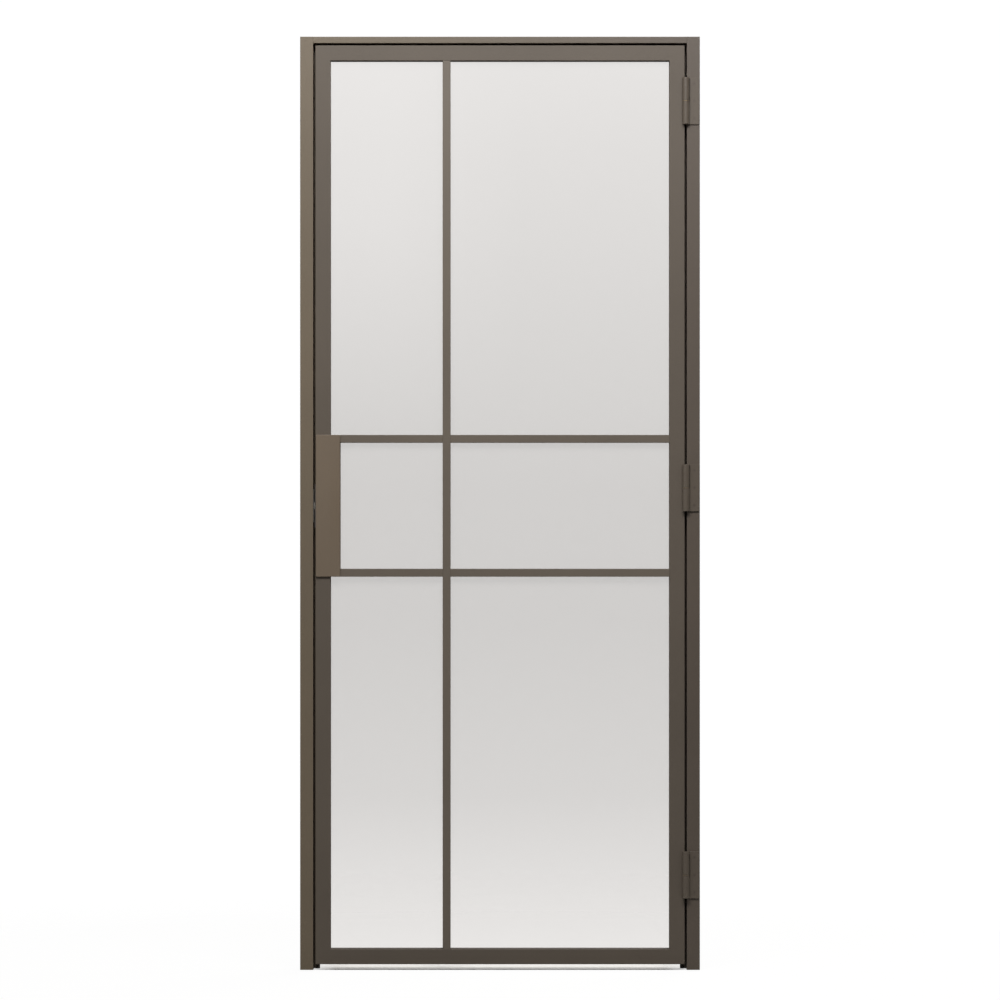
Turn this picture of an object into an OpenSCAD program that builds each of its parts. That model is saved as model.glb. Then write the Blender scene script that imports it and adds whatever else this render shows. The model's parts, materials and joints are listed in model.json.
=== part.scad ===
// Glass door leaf in its own frame: slim hollow metal profiles, six separate panes, a flat
// pull plate on each face, three lift-off barrel hinges and a sprung roller catch.
// Origin: floor level, middle of the frame's width and depth. +X towards the hinges,
// +Y from the front (hinge barrel) face to the back, +Z up. Millimetres.

/* [Leaf] */
// Width of the leaf
leaf_w = 850; // [650:1:1100]
// Height of the leaf
leaf_h = 2115; // [1750:1:2600]
// Thickness of the leaf
leaf_t = 40; // [38:0.5:50]
// Sight width of the stiles and rails
rail_w = 35; // [34:0.5:60]
// Wall of every hollow profile
wall = 2; // [1.5:0.1:2.4]
// Radius on the outer edges of every profile
edge_r = 1; // [0.4:0.1:1.6]

/* [Glazing bars] */
// Sight width of the glazing bars
bar_w = 18; // [17:0.5:30]
// Leaf's lock edge to the middle of the upright bar
bar_x = 302; // [150:1:450]
// Leaf's bottom edge to the middle of the lower cross bar
bar_z_low = 901; // [500:1:950]
// Leaf's bottom edge to the middle of the upper cross bar
bar_z_high = 1209.5; // [1150:0.5:1500]
// Length of the spigot inside each end of a bar
spigot_l = 20; // [14:1:30]

/* [Glazing] */
// Depth of the profile in front of the glass
fin_t = 12; // [10:0.5:14]
// Width of the rebate behind the sight line
rebate = 7; // [6:0.5:8]
// Thickness of the glass
glass_t = 6; // [4:0.2:8]
// How far the glass reaches behind the sight line
glass_bite = 5; // [4:0.5:5.5]
// Thickness of the gasket on each face of the glass
gasket_t = 3; // [2:0.5:4]
// Wall of the hollow glazing bead
bead_wall = 1.2; // [1:0.1:1.6]

/* [Frame] */
// Face width of the jambs
jamb_w = 30; // [24:0.5:60]
// Face width of the head
head_w = 15; // [13:0.5:60]
// Gap between leaf and frame at the sides and top
gap = 5; // [4.6:0.1:6]
// Gap under the leaf
floor_gap = 13; // [6:1:20]
// How far the stop stands into the opening
stop_w = 14; // [13:0.5:17]
// Depth of the stop behind the leaf
stop_d = 16; // [14:0.5:40]
// Space between the closed leaf and its stop
stop_gap = 4; // [3.6:0.1:5]
// End of each jamb to its nearest wall fixing
fix_end = 324; // [280:1:340]
// Diameter of the wall fixing holes
fix_dia = 6.5; // [5:0.5:8]

/* [Hinges] */
// Leaf's bottom edge to the middle of the lowest hinge
hinge_low = 206; // [140:1:240]
// Leaf's top edge to the middle of the highest hinge
hinge_top = 128; // [120:1:300]
// Height of a hinge
hinge_h = 108; // [90:1:120]
// Diameter of the hinge barrel
barrel_dia = 16; // [14:0.5:20]
// Diameter of the hinge pin
pin_dia = 8; // [6:0.5:9]
// Thickness of the frame wing
frame_wing_t = 4; // [3:0.5:5]
// Thickness of the leaf wing
leaf_wing_t = 2.5; // [2.2:0.1:3]

/* [Pull plates] */
// Width of the front pull plate
plate_w = 56; // [50:1:80]
// Thickness of the pull plates
plate_t = 6; // [5:0.5:8]
// Inset of the front plate from the leaf's lock edge
plate_inset = 1; // [0.5:0.5:3]

/* [Roller catch] */
// Diameter of the roller
roller_dia = 14; // [12:0.5:14.4]
// How far the roller stands out of the leaf's edge
roller_out = 6; // [5.5:0.1:6.5]
// Travel of the roller into the leaf
catch_travel = 3; // [2:0.1:3.5]
// Height of the catch's faceplate
face_h = 100; // [90:1:120]

/* [Hidden] */
$fn = 48;

// Clearances
snug = 0.1;      // round a screw, a bead or a gasket in its seat
slide_gap = 0.3; // between pieces that move past each other
pin_gap = 0.05;  // radial, hinge pin and roller axle
mitre_gap = 0.1; // between two beads of one pane

// Main levels and edges
frame_d = leaf_t + stop_gap + stop_d;
frame_w = leaf_w + 2 * (gap + jamb_w);
frame_h = floor_gap + leaf_h + gap + head_w;
front_y = -frame_d / 2;
leaf_back_y = front_y + leaf_t;
stop_y = leaf_back_y + stop_gap;
jamb_in_x = leaf_w / 2 + gap;
head_in_z = frame_h - head_w;
leaf_z = floor_gap;
leaf_top_z = leaf_z + leaf_h;

// Leaf profile
box_w = rail_w - rebate;
bar_web = bar_w - 2 * rebate;
bead_v = fin_t + 2 * gasket_t + glass_t;
bead_t = leaf_t - bead_v;
rib_h = 0.6;
rib_t = 1.2;
rib_v = bead_t - 5;
groove_d = rib_h + 0.2;

// Bars and sight openings
lock_sight_x = -leaf_w / 2 + rail_w;
hinge_sight_x = leaf_w / 2 - rail_w;
upright_x = -leaf_w / 2 + bar_x;
cross_zs = [leaf_z + bar_z_low, leaf_z + bar_z_high];
column_xs = [[lock_sight_x, upright_x - bar_w / 2], [upright_x + bar_w / 2, hinge_sight_x]];
row_zs = [
    [leaf_z + rail_w, cross_zs[0] - bar_w / 2],
    [cross_zs[0] + bar_w / 2, cross_zs[1] - bar_w / 2],
    [cross_zs[1] + bar_w / 2, leaf_top_z - rail_w]
];
// Each bar end: x, z and the turn about Y that points from its carrier into the bar
bar_ends = concat(
    [[upright_x, row_zs[0][0], 0], [upright_x, row_zs[2][1], 180]],
    [for (z = cross_zs, column = column_xs) [column[0], z, 90]],
    [for (z = cross_zs, column = column_xs) [column[1], z, -90]]
);

// Screws
screw_r = 2;
screw_head_r = 3.9;
screw_head_h = 2;
screw_l = 12;
socket_r = 1.25;
socket_d = 1.4;
pan_r = 3.4;
pan_h = 2.4;

// Stop and its seal
stop_wall = 6;
seal_groove_w = 3;
seal_groove_d = 4;
seal_u = 9; // jamb's inner face to the middle of the seal
seal_w = 7;
seal_base_t = 1.2;
bulb_r = 2.5;
bulb_wall = 0.8;
seal_t = stop_gap - slide_gap;

// Wall fixings
fix_y = front_y + 22;
cap_hole_r = 5.5;
cap_flange_r = 6.8;
cap_flange_t = 1;
cap_l = 4;

// Frame corners
corner_block_l = 40;
corner_block_d = 36;
corner_screw_l = 24;
corner_screw_ys = [front_y + 12, front_y + 30];
corner_z = frame_h - head_w / 2;
access_r = 4.5;

// Hinges
barrel_r = barrel_dia / 2;
hinge_x = leaf_w / 2 + gap / 2;
hinge_y = front_y - barrel_r - 0.5;
hinge_zs = [
    leaf_z + hinge_low,
    leaf_z + (hinge_low + leaf_h - hinge_top) / 2,
    leaf_top_z - hinge_top
];
washer_t = 1;
pin_half = 40;
knuckle_chamfer = 1;
wing_clear = 1;
frame_wing_w = jamb_in_x + jamb_w - 2 - hinge_x;
frame_screw_x = (barrel_r + wing_clear + frame_wing_w) / 2;
leaf_wing_d = 30;
leaf_screw_y = front_y + 18;
hinge_screw_zs = [-0.37 * hinge_h, 0, 0.37 * hinge_h];
backing_t = 5;
backing_h = hinge_h - 8;

// Pull plates
plate_z = leaf_z + bar_z_low - bar_w / 2;
plate_h = bar_z_high - bar_z_low + bar_w;
plate_x = -leaf_w / 2 + plate_inset;
sleeve_r = 4.6;
plate_screw_x = -leaf_w / 2 + box_w - wall - sleeve_r - 1.4;
back_plate_x = plate_screw_x - 6; // clear of the stop behind the leaf's edge
back_plate_w = plate_x + plate_w - back_plate_x;
plate_screw_zs = [for (d = [22, 82]) each [plate_z + d, plate_z + plate_h - d]];
plate_screw_l = leaf_t + plate_t + 4;
plate_r = 1.5;

// Roller catch: x is measured from the leaf's lock edge into the leaf
catch_y = front_y + leaf_t / 2;
catch_z = plate_z + plate_h / 2;
roller_r = roller_dia / 2;
roller_h = 15.4;
roller_x = roller_r - roller_out;
axle_r = 2;
face_t = 1.5;
face_w = 22;
fork_in = roller_h + 2 * slide_gap;
fork_h = 30;
fork_t = 7;
fork_nose = 3;
carriage_h = 35;
shoulder_x = roller_x + roller_r + 1;
carriage_x = shoulder_x + slide_gap;
carriage_l = 4.7;
guide_w = roller_dia + 2 * slide_gap;
case_w = guide_w + 3.4;
case_h = carriage_h + 9;
case_wall = 1.5;
case_d = box_w - wall - 1;
spring_x = carriage_x + carriage_l;
spring_r = 4;
spring_wire_r = 0.6;
spring_room = case_d - case_wall - spring_x;
spring_turns = floor((spring_room - catch_travel) / (2 * spring_wire_r)) - 1;
boss_r = 2.5;
boss_l = 3;
strike_t = 1.5;
strike_h = 76;
pocket_w = 12;
pocket_h = 22;

// Wall fixing heights: evenly spaced, the middle two kept clear of the strike plate
fix_pitch = (frame_h - 2 * fix_end) / 3;
fix_zs = [
    fix_end,
    min(fix_end + fix_pitch, catch_z - strike_h),
    max(fix_end + 2 * fix_pitch, catch_z + strike_h),
    frame_h - fix_end
];

profile_paint = [0.40, 0.355, 0.31];
frame_paint = [0.43, 0.375, 0.32];
plate_paint = [0.42, 0.38, 0.325];
rubber_black = [0.09, 0.09, 0.09];
steel_grey = [0.72, 0.72, 0.70];

// ---- Shared shapes ----

// Rectangle with true arcs at its corners
module rounded(w, h, r) {
    translate([r, 0]) square([w - 2 * r, h]);
    translate([0, r]) square([w, h - 2 * r]);
    for (x = [r, w - r], y = [r, h - r]) translate([x, y]) circle(r);
}

// Countersunk screw, head face at z = 0, shank down
module csk_screw(l) {
    difference() {
        rotate_extrude() polygon([
            [0, 0], [screw_head_r, 0], [screw_r, -screw_head_h],
            [screw_r, -l + screw_r / 2], [screw_r / 2, -l], [0, -l]
        ]);
        translate([0, 0, -socket_d]) cylinder(r = socket_r, h = 2 * socket_d, $fn = 6);
    }
}

module csk_hole(l) {
    rotate_extrude() polygon([
        [0, 1], [screw_head_r + snug, 1], [screw_head_r + snug, 0],
        [screw_r + snug, -screw_head_h], [screw_r + snug, -l - 1], [0, -l - 1]
    ]);
}

// Pan-head screw, seat at z = 0, shank down
module pan_screw(l) {
    difference() {
        union() {
            cylinder(r = pan_r, h = pan_h);
            translate([0, 0, -l]) cylinder(r = screw_r, h = l);
        }
        translate([0, 0, pan_h - socket_d]) cylinder(r = socket_r, h = 2 * socket_d, $fn = 6);
    }
}

// A section (x inward, y front to back) run along one side of a w by h rectangle on z = 0
module along_side(side, w, h, over = 0) {
    if (side == "lock" || side == "hinge")
        mirror([side == "hinge" ? 1 : 0, 0, 0])
            translate([-w / 2, 0, -over]) linear_extrude(h + 2 * over) children();
    else
        translate([0, 0, side == "top" ? h : 0])
            mirror([0, 0, side == "top" ? 1 : 0])
                translate([w / 2 + over, 0, 0]) rotate([0, -90, 0])
                    linear_extrude(w + 2 * over) children();
}

// The 45 degree wedge that mitres one side of that rectangle, m deep and o outward
module mitre(side, w, h, m, o = 0, g = 0) {
    upright = side == "lock" || side == "hinge";
    far = upright ? h : w;
    near_cut = [[-o, -o + g], [m, m + g], [m, far - m - g], [-o, far + o - g]];
    depth = frame_d + leaf_t;
    translate([0, depth / 2, 0]) rotate([90, 0, 0]) linear_extrude(depth)
        if (upright)
            mirror([side == "hinge" ? 1 : 0, 0]) translate([-w / 2, 0]) polygon(near_cut);
        else
            translate([0, side == "top" ? h : 0]) mirror([0, side == "top" ? 1 : 0])
                translate([-w / 2, 0]) polygon([for (p = near_cut) [p[1], p[0]]]);
}

// ---- Frame ----

module frame_section(face) {
    stop_v = stop_y - front_y;
    difference() {
        union() {
            rounded(face, frame_d, edge_r);
            translate([0, stop_v]) rounded(face + stop_w, stop_d, edge_r);
        }
        translate([wall, wall]) square([face - 2 * wall, frame_d - 2 * wall]);
        translate([wall, stop_v + stop_wall])
            square([face + stop_w - 2 * wall, stop_d - stop_wall - wall]);
        translate([face + seal_u - seal_groove_w / 2, stop_v - 1])
            square([seal_groove_w, seal_groove_d + 1]);
    }
}

// One jamb on the lock side, with what both jambs share
module jamb() {
    difference() {
        translate([-frame_w / 2, front_y, 0]) linear_extrude(frame_h) frame_section(jamb_w);
        for (z = fix_zs) translate([-frame_w / 2, fix_y, z]) rotate([0, 90, 0]) {
            translate([0, 0, -1]) cylinder(d = fix_dia, h = wall + 2);
            translate([0, 0, jamb_w - wall - 1]) cylinder(r = cap_hole_r, h = wall + 2);
        }
        for (y = corner_screw_ys) translate([-frame_w / 2, y, corner_z]) rotate([0, 90, 0]) {
            translate([0, 0, -1]) cylinder(r = access_r, h = wall + 2);
            translate([0, 0, jamb_w - wall - 1]) cylinder(r = screw_r + snug, h = wall + 2);
        }
    }
}

module on_both_jambs() {
    children();
    mirror([1, 0, 0]) children();
}

module hinge_jamb() {
    color(frame_paint) difference() {
        mirror([1, 0, 0]) jamb();
        at_hinges() frame_screw_places() csk_hole(screw_l);
    }
}

module lock_jamb() {
    color(frame_paint) difference() {
        jamb();
        in_strike() {
            strike_screw_places() csk_hole(screw_l);
            strike_pocket(wall + strike_t + 1);
        }
    }
}

module frame_head() {
    color(frame_paint) difference() {
        translate([jamb_in_x, front_y, frame_h]) mirror([0, 0, 1])
            rotate([0, -90, 0]) linear_extrude(2 * jamb_in_x) frame_section(head_w);
        // Room for the jambs' stops, which run up past both ends of the head
        for (s = [-1, 1]) translate([s * jamb_in_x, stop_y + frame_d / 2, corner_z])
            cube([2 * stop_w, frame_d, 2 * (head_w + stop_w)], center = true);
    }
}

module frame_corner_blocks() {
    block_h = head_w - 2 * wall - 2 * snug;
    color(steel_grey) on_both_jambs() difference() {
        translate([-jamb_in_x, front_y + wall + snug, corner_z - block_h / 2])
            cube([corner_block_l, corner_block_d, block_h]);
        for (y = corner_screw_ys) translate([-jamb_in_x - 1, y, corner_z])
            rotate([0, 90, 0]) cylinder(r = screw_r + snug, h = corner_screw_l + 2);
    }
}

module frame_corner_screws() {
    color(steel_grey) on_both_jambs() for (y = corner_screw_ys)
        translate([-jamb_in_x - wall, y, corner_z]) rotate([0, -90, 0])
            pan_screw(corner_screw_l);
}

// Seal section: x across the stop, y = 0 on the stop's front face, towards the leaf is -y
module seal_section(foot = true) {
    difference() {
        union() {
            translate([-seal_w / 2, -seal_base_t]) square([seal_w, seal_base_t]);
            intersection() {
                translate([0, bulb_r - seal_t]) circle(bulb_r);
                translate([-seal_w, -seal_t]) square([2 * seal_w, seal_t]);
            }
            if (foot)
                translate([snug - seal_groove_w / 2, -seal_base_t])
                    square([seal_groove_w - 2 * snug, seal_base_t + seal_groove_d - snug]);
        }
        translate([0, bulb_r - seal_t]) circle(bulb_r - bulb_wall);
    }
}

module jamb_seal() {
    translate([-jamb_in_x + seal_u, stop_y, 0]) linear_extrude(head_in_z) seal_section();
}

module hinge_jamb_seal() { color(rubber_black) mirror([1, 0, 0]) jamb_seal(); }

module lock_jamb_seal() { color(rubber_black) jamb_seal(); }

module head_seal() {
    bulb_half = jamb_in_x - seal_u - seal_w / 2 - snug;
    foot_half = jamb_in_x - stop_w - snug;
    color(rubber_black) translate([0, stop_y, head_in_z - seal_u])
        for (part = [[bulb_half, false], [foot_half, true]])
            translate([part[0], 0, 0]) rotate([0, -90, 0])
                linear_extrude(2 * part[0]) seal_section(part[1]);
}

module fixing_caps() {
    color(rubber_black) on_both_jambs() for (z = fix_zs)
        translate([-jamb_in_x, fix_y, z]) rotate([0, 90, 0]) {
            cylinder(r = cap_flange_r, h = cap_flange_t);
            translate([0, 0, -cap_l]) cylinder(r = cap_hole_r - snug, h = cap_l);
        }
}

// ---- Strike plate ----

module in_strike() { translate([-jamb_in_x, catch_y, catch_z]) children(); }

module strike_screw_places() {
    for (s = [-1, 1]) translate([strike_t, 0, s * (strike_h / 2 - 9)]) rotate([0, 90, 0])
        children();
}

module strike_pocket(depth) {
    translate([strike_t + 1 - depth, -pocket_w / 2, -pocket_h / 2])
        cube([depth, pocket_w, pocket_h]);
}

module strike_plate() {
    color(steel_grey) in_strike() difference() {
        translate([0, -face_w / 2, -strike_h / 2]) cube([strike_t, face_w, strike_h]);
        strike_screw_places() csk_hole(screw_l);
        strike_pocket(strike_t + 2);
    }
}

module strike_screws() {
    color(steel_grey) in_strike() strike_screw_places() csk_screw(screw_l);
}

// ---- Hinges ----

module at_hinge(i) { translate([hinge_x, hinge_y, hinge_zs[i]]) children(); }

module at_hinges() { for (i = [0:len(hinge_zs) - 1]) at_hinge(i) children(); }

module frame_screw_places() {
    for (z = hinge_screw_zs)
        translate([frame_screw_x, front_y - frame_wing_t - hinge_y, z]) rotate([90, 0, 0])
            children();
}

module leaf_screw_places() {
    for (z = hinge_screw_zs)
        translate([leaf_w / 2 + leaf_wing_t - hinge_x, leaf_screw_y - hinge_y, z])
            rotate([0, 90, 0]) children();
}

// Solid knuckle from the washer up to the hinge's end
module knuckle() {
    top = hinge_h / 2;
    base = washer_t / 2 + pin_gap;
    rotate_extrude() polygon([
        [0, base], [barrel_r, base], [barrel_r, top - knuckle_chamfer],
        [barrel_r - knuckle_chamfer, top], [0, top]
    ]);
}

module pin_bore() {
    cylinder(r = pin_dia / 2 + pin_gap, h = pin_half + 2 * pin_gap);
}

module hinge_frame_half() {
    wing_y = front_y - frame_wing_t - hinge_y;
    free_x = barrel_r + wing_clear;
    color(frame_paint) difference() {
        union() {
            mirror([0, 0, 1]) knuckle();
            translate([free_x, wing_y, -hinge_h / 2])
                cube([frame_wing_w - free_x, frame_wing_t, hinge_h]);
            translate([gap / 2, wing_y, -hinge_h / 2])
                cube([frame_wing_w - gap / 2, frame_wing_t, hinge_h / 2 - washer_t]);
        }
        mirror([0, 0, 1]) pin_bore();
        frame_screw_places() csk_hole(screw_l);
    }
}

module hinge_leaf_half() {
    wing_x = leaf_w / 2 - hinge_x;
    free_y = barrel_r + wing_clear;
    wing_end_y = front_y + leaf_wing_d - hinge_y;
    color(profile_paint) difference() {
        union() {
            knuckle();
            translate([wing_x, free_y, -hinge_h / 2])
                cube([leaf_wing_t, wing_end_y - free_y, hinge_h]);
            translate([wing_x, 0, washer_t])
                cube([leaf_wing_t, wing_end_y, hinge_h / 2 - washer_t]);
        }
        pin_bore();
        leaf_screw_places() csk_hole(screw_l);
    }
}

module lower_hinge_frame_half() { at_hinge(0) hinge_frame_half(); }
module middle_hinge_frame_half() { at_hinge(1) hinge_frame_half(); }
module upper_hinge_frame_half() { at_hinge(2) hinge_frame_half(); }
module lower_hinge_leaf_half() { at_hinge(0) hinge_leaf_half(); }
module middle_hinge_leaf_half() { at_hinge(1) hinge_leaf_half(); }
module upper_hinge_leaf_half() { at_hinge(2) hinge_leaf_half(); }

module hinge_pins() {
    r = pin_dia / 2;
    color(steel_grey) at_hinges() rotate_extrude() polygon([
        [0, -pin_half], [r - 1, -pin_half], [r, -pin_half + 1],
        [r, pin_half - 1], [r - 1, pin_half], [0, pin_half]
    ]);
}

module hinge_washers() {
    color("goldenrod") at_hinges() difference() {
        translate([0, 0, -washer_t / 2]) cylinder(r = barrel_r - 0.5, h = washer_t);
        translate([0, 0, -washer_t]) cylinder(r = pin_dia / 2 + 2 * snug, h = 2 * washer_t);
    }
}

module frame_hinge_screws() {
    color(steel_grey) at_hinges() frame_screw_places() csk_screw(screw_l);
}

module leaf_hinge_screws() {
    color(steel_grey) at_hinges() leaf_screw_places() csk_screw(screw_l);
}

module frame_hinge_backings() {
    backing_w = 18;
    color(steel_grey) at_hinges() difference() {
        translate([frame_screw_x - backing_w / 2, front_y + wall - hinge_y, -backing_h / 2])
            cube([backing_w - 1, backing_t, backing_h]);
        frame_screw_places() csk_hole(screw_l);
    }
}

module leaf_hinge_backings() {
    backing_w = 28;
    color(steel_grey) at_hinges() difference() {
        translate([
            leaf_w / 2 - wall - backing_t - hinge_x,
            leaf_screw_y - backing_w / 2 - hinge_y,
            -backing_h / 2
        ]) cube([backing_t, backing_w, backing_h]);
        leaf_screw_places() csk_hole(screw_l);
    }
}

// ---- Leaf profiles ----

module leaf_section() {
    difference() {
        union() {
            rounded(rail_w, fin_t, edge_r);
            rounded(box_w, leaf_t, edge_r);
        }
        translate([wall, wall]) square([rail_w - 2 * wall, fin_t - 2 * wall]);
        translate([wall, wall]) square([box_w - 2 * wall, leaf_t - 2 * wall]);
        translate([box_w - groove_d, bead_v + rib_v - snug])
            square([2 * groove_d, rib_t + 2 * snug]);
    }
}

module leaf_member(side) {
    color(profile_paint) difference() {
        translate([0, front_y, leaf_z]) intersection() {
            along_side(side, leaf_w, leaf_h) leaf_section();
            mitre(side, leaf_w, leaf_h, rail_w);
        }
        at_bar_ends() spigot_screw_hole();
        if (side == "hinge") at_hinges() leaf_screw_places() csk_hole(screw_l);
        if (side == "lock") {
            plate_screw_holes();
            in_catch() {
                case_cutout();
                catch_screw_places() csk_hole(screw_l);
            }
        }
    }
}

module hinge_stile() { leaf_member("hinge"); }
module lock_stile() { leaf_member("lock"); }
module top_rail() { leaf_member("top"); }
module bottom_rail() { leaf_member("bottom"); }

module leaf_corner_cleats() {
    leg_l = 60;
    web_t = 4;
    leg_w = box_w - 2 * wall - 2 * snug;
    depth = leaf_t - 2 * wall - 2 * snug;
    window = [leg_w - 2 * web_t, leg_l - leg_w - web_t];
    color(steel_grey)
        translate([0, front_y + wall + snug + depth, leaf_z + leaf_h / 2]) rotate([90, 0, 0])
            linear_extrude(depth) for (sx = [0, 1], sz = [0, 1])
                mirror([sx, 0]) mirror([0, sz])
                    translate([-leaf_w / 2 + wall + snug, -leaf_h / 2 + wall + snug])
                        difference() {
                            union() {
                                square([leg_l, leg_w]);
                                square([leg_w, leg_l]);
                            }
                            translate([web_t, leg_w]) square(window);
                            translate([leg_w, web_t]) square([window[1], window[0]]);
                        }
}

// ---- Glazing bars ----

module bar_head(l) {
    linear_extrude(l) difference() {
        translate([-bar_w / 2, 0]) rounded(bar_w, fin_t, edge_r);
        translate([wall - bar_w / 2, wall]) square([bar_w - 2 * wall, fin_t - 2 * wall]);
    }
}

module bar_web_part(l) {
    translate([0, 0, -rebate]) linear_extrude(l + 2 * rebate) difference() {
        translate([-bar_web / 2, fin_t - edge_r]) square([bar_web, leaf_t - fin_t + edge_r]);
        for (s = [-1, 1]) translate([s * bar_web / 2 - groove_d, bead_v + rib_v - snug])
            square([2 * groove_d, rib_t + 2 * snug]);
        }
}

// A bar of length l between its carriers, front at y = 0, running up from z = 0
module bar(l) {
    bar_head(l);
    difference() {
        bar_web_part(l);
        for (z = [-rebate - 1, l]) translate([-bar_w, -1, z])
            cube([2 * bar_w, fin_t + 1, rebate + 1]);
    }
}

module upright_bar() {
    color(profile_paint) difference() {
        translate([upright_x, front_y, row_zs[0][0]]) bar(row_zs[2][1] - row_zs[0][0]);
        at_bar_ends() spigot_screw_hole();
    }
}

module cross_bar(row, column) {
    xs = column_xs[column];
    color(profile_paint) translate([xs[0], front_y, cross_zs[row]]) rotate([0, 90, 0])
        bar(xs[1] - xs[0]);
}

module lower_cross_bar_lock_side() { cross_bar(0, 0); }
module lower_cross_bar_hinge_side() { cross_bar(0, 1); }
module upper_cross_bar_lock_side() { cross_bar(1, 0); }
module upper_cross_bar_hinge_side() { cross_bar(1, 1); }

module at_bar_ends() {
    for (e = bar_ends) translate([e[0], front_y + fin_t / 2, e[1]]) rotate([0, e[2], 0])
        children();
}

module spigot_screw_hole() {
    translate([0, 0, -wall - 1]) cylinder(r = screw_r + snug, h = wall + 2);
}

module bar_spigots() {
    w = bar_w - 2 * wall - 4 * snug;
    d = fin_t - 2 * wall - 4 * snug;
    color(steel_grey) at_bar_ends() difference() {
        translate([-w / 2, -d / 2, 0]) cube([w, d, spigot_l]);
        translate([0, 0, -1]) cylinder(r = screw_r + snug, h = spigot_l + 2);
    }
}

module bar_spigot_screws() {
    color(steel_grey) at_bar_ends() translate([0, 0, spigot_l])
        pan_screw(spigot_l + wall + 3);
}

// ---- Glazing ----

// Box over one sight opening, grown by g on every side, from depth v0 to v1
module sight_box(column, row, g, v0, v1) {
    xs = column_xs[column];
    zs = row_zs[row];
    translate([xs[0] - g, front_y + v0, zs[0] - g])
        cube([xs[1] - xs[0] + 2 * g, v1 - v0, zs[1] - zs[0] + 2 * g]);
}

module pane(column, row) {
    color([0.86, 0.88, 0.87, 0.4])
        sight_box(column, row, glass_bite, fin_t + gasket_t, fin_t + gasket_t + glass_t);
}

// A rubber channel round the edge of a pane
module gasket(column, row) {
    lip = 0.5;
    difference() {
        sight_box(column, row, rebate - snug, fin_t, bead_v);
        sight_box(column, row, lip, fin_t - 1, bead_v + 1);
        sight_box(column, row, glass_bite, fin_t + gasket_t, fin_t + gasket_t + glass_t);
    }
}

module bead_section() {
    hollow_w = rebate - snug - 2 * bead_wall;
    difference() {
        union() {
            translate([snug, 0]) rounded(rebate - snug, bead_t, edge_r);
            translate([snug - rib_h, rib_v]) square([rib_h + bead_wall, rib_t]);
        }
        translate([snug + bead_wall, bead_wall]) square([hollow_w, bead_t - 2 * bead_wall]);
    }
}

// Four mitred beads, each with a rib that snaps into the groove of the profile behind it
module beads(column, row) {
    xs = column_xs[column];
    zs = row_zs[row];
    w = xs[1] - xs[0] + 2 * rebate;
    h = zs[1] - zs[0] + 2 * rebate;
    color(profile_paint)
        translate([(xs[0] + xs[1]) / 2, front_y + bead_v, zs[0] - rebate])
            for (side = ["lock", "hinge", "top", "bottom"]) intersection() {
                along_side(side, w, h, rib_h) bead_section();
                mitre(side, w, h, rebate + 1, 1, mitre_gap);
            }
}

module bottom_small_pane() { pane(0, 0); }
module middle_small_pane() { pane(0, 1); }
module top_small_pane() { pane(0, 2); }
module bottom_large_pane() { pane(1, 0); }
module middle_large_pane() { pane(1, 1); }
module top_large_pane() { pane(1, 2); }
module small_pane_gaskets() { color(rubber_black) for (row = [0:2]) gasket(0, row); }
module large_pane_gaskets() { color(rubber_black) for (row = [0:2]) gasket(1, row); }
module bottom_small_beads() { beads(0, 0); }
module middle_small_beads() { beads(0, 1); }
module top_small_beads() { beads(0, 2); }
module bottom_large_beads() { beads(1, 0); }
module middle_large_beads() { beads(1, 1); }
module top_large_beads() { beads(1, 2); }

// ---- Pull plates ----

module at_plate_screws() {
    for (z = plate_screw_zs)
        translate([plate_screw_x, leaf_back_y + plate_t, z]) rotate([-90, 0, 0]) children();
}

module plate_screw_holes() { at_plate_screws() csk_hole(plate_screw_l); }

module front_pull_plate() {
    color(plate_paint) difference() {
        translate([plate_x, front_y - plate_t, plate_z]) linear_extrude(plate_h)
            rounded(plate_w, plate_t, plate_r);
        at_plate_screws() translate([0, 0, -plate_screw_l - snug])
            cylinder(r = screw_r + snug, h = plate_screw_l);
    }
}

module back_pull_plate() {
    color(plate_paint) difference() {
        translate([back_plate_x, leaf_back_y, plate_z]) linear_extrude(plate_h)
            rounded(back_plate_w, plate_t, plate_r);
        plate_screw_holes();
    }
}

module pull_plate_screws() { color(steel_grey) at_plate_screws() csk_screw(plate_screw_l); }

module pull_plate_sleeves() {
    color(steel_grey) at_plate_screws() translate([0, 0, -plate_t - leaf_t + wall])
        difference() {
            cylinder(r = sleeve_r, h = leaf_t - 2 * wall);
            translate([0, 0, -1]) cylinder(r = screw_r + 2 * snug, h = leaf_t);
        }
}

// ---- Roller catch ----

module in_catch() { translate([-leaf_w / 2, catch_y, catch_z]) children(); }

module catch_screw_places() {
    for (s = [-1, 1]) translate([-face_t, 0, s * (face_h / 2 - 9)]) rotate([0, -90, 0])
        children();
}

module case_cutout() {
    translate([-1, -case_w / 2 - snug, -case_h / 2 - snug])
        cube([wall + 2, case_w + 2 * snug, case_h + 2 * snug]);
}

// A block centred on y and z, from x0 to x1
module block(x0, x1, w, h) { translate([x0, -w / 2, -h / 2]) cube([x1 - x0, w, h]); }

module catch_case() {
    color(steel_grey) in_catch() difference() {
        union() {
            block(-face_t, 0, face_w, face_h);
            block(-face_t, case_d, case_w, case_h);
        }
        block(-face_t - 1, shoulder_x, guide_w, fork_h + 2 * slide_gap);
        block(shoulder_x, case_d - case_wall, guide_w, carriage_h + 2 * slide_gap);
        catch_screw_places() csk_hole(screw_l);
    }
}

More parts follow.
